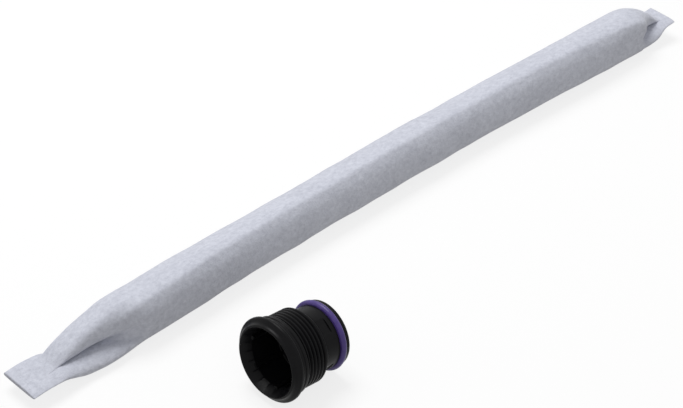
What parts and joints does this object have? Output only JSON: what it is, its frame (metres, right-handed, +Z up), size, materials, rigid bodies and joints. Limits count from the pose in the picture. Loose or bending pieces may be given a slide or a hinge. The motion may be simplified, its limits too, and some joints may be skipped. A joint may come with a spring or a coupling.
{
  "type": "air conditioning accumulator drier set",
  "caption": "Long felt sleeve filled with drying beads, with a threaded plastic plug and a rubber seal ring that close the housing of an air conditioning accumulator.",
  "frame": {"origin": "middle of the set's footprint, on the surface it lies on", "axes": "+X along the sleeve from its wide tab to its narrow tab, +Z up from the surface"},
  "size_m": [0.32, 0.0816, 0.0306],
  "materials": {
    "felt": "bluish white needled polyester felt, matt, slightly mottled",
    "plug_plastic": "black moulded plastic with a soft sheen",
    "seal_rubber": "violet rubber, semi-matt"
  },
  "bodies": {
    "root": {"desiccant_bag": "felt", "plug_body": "plug_plastic", "o_ring": "seal_rubber"}
  },
  "joints": []
}
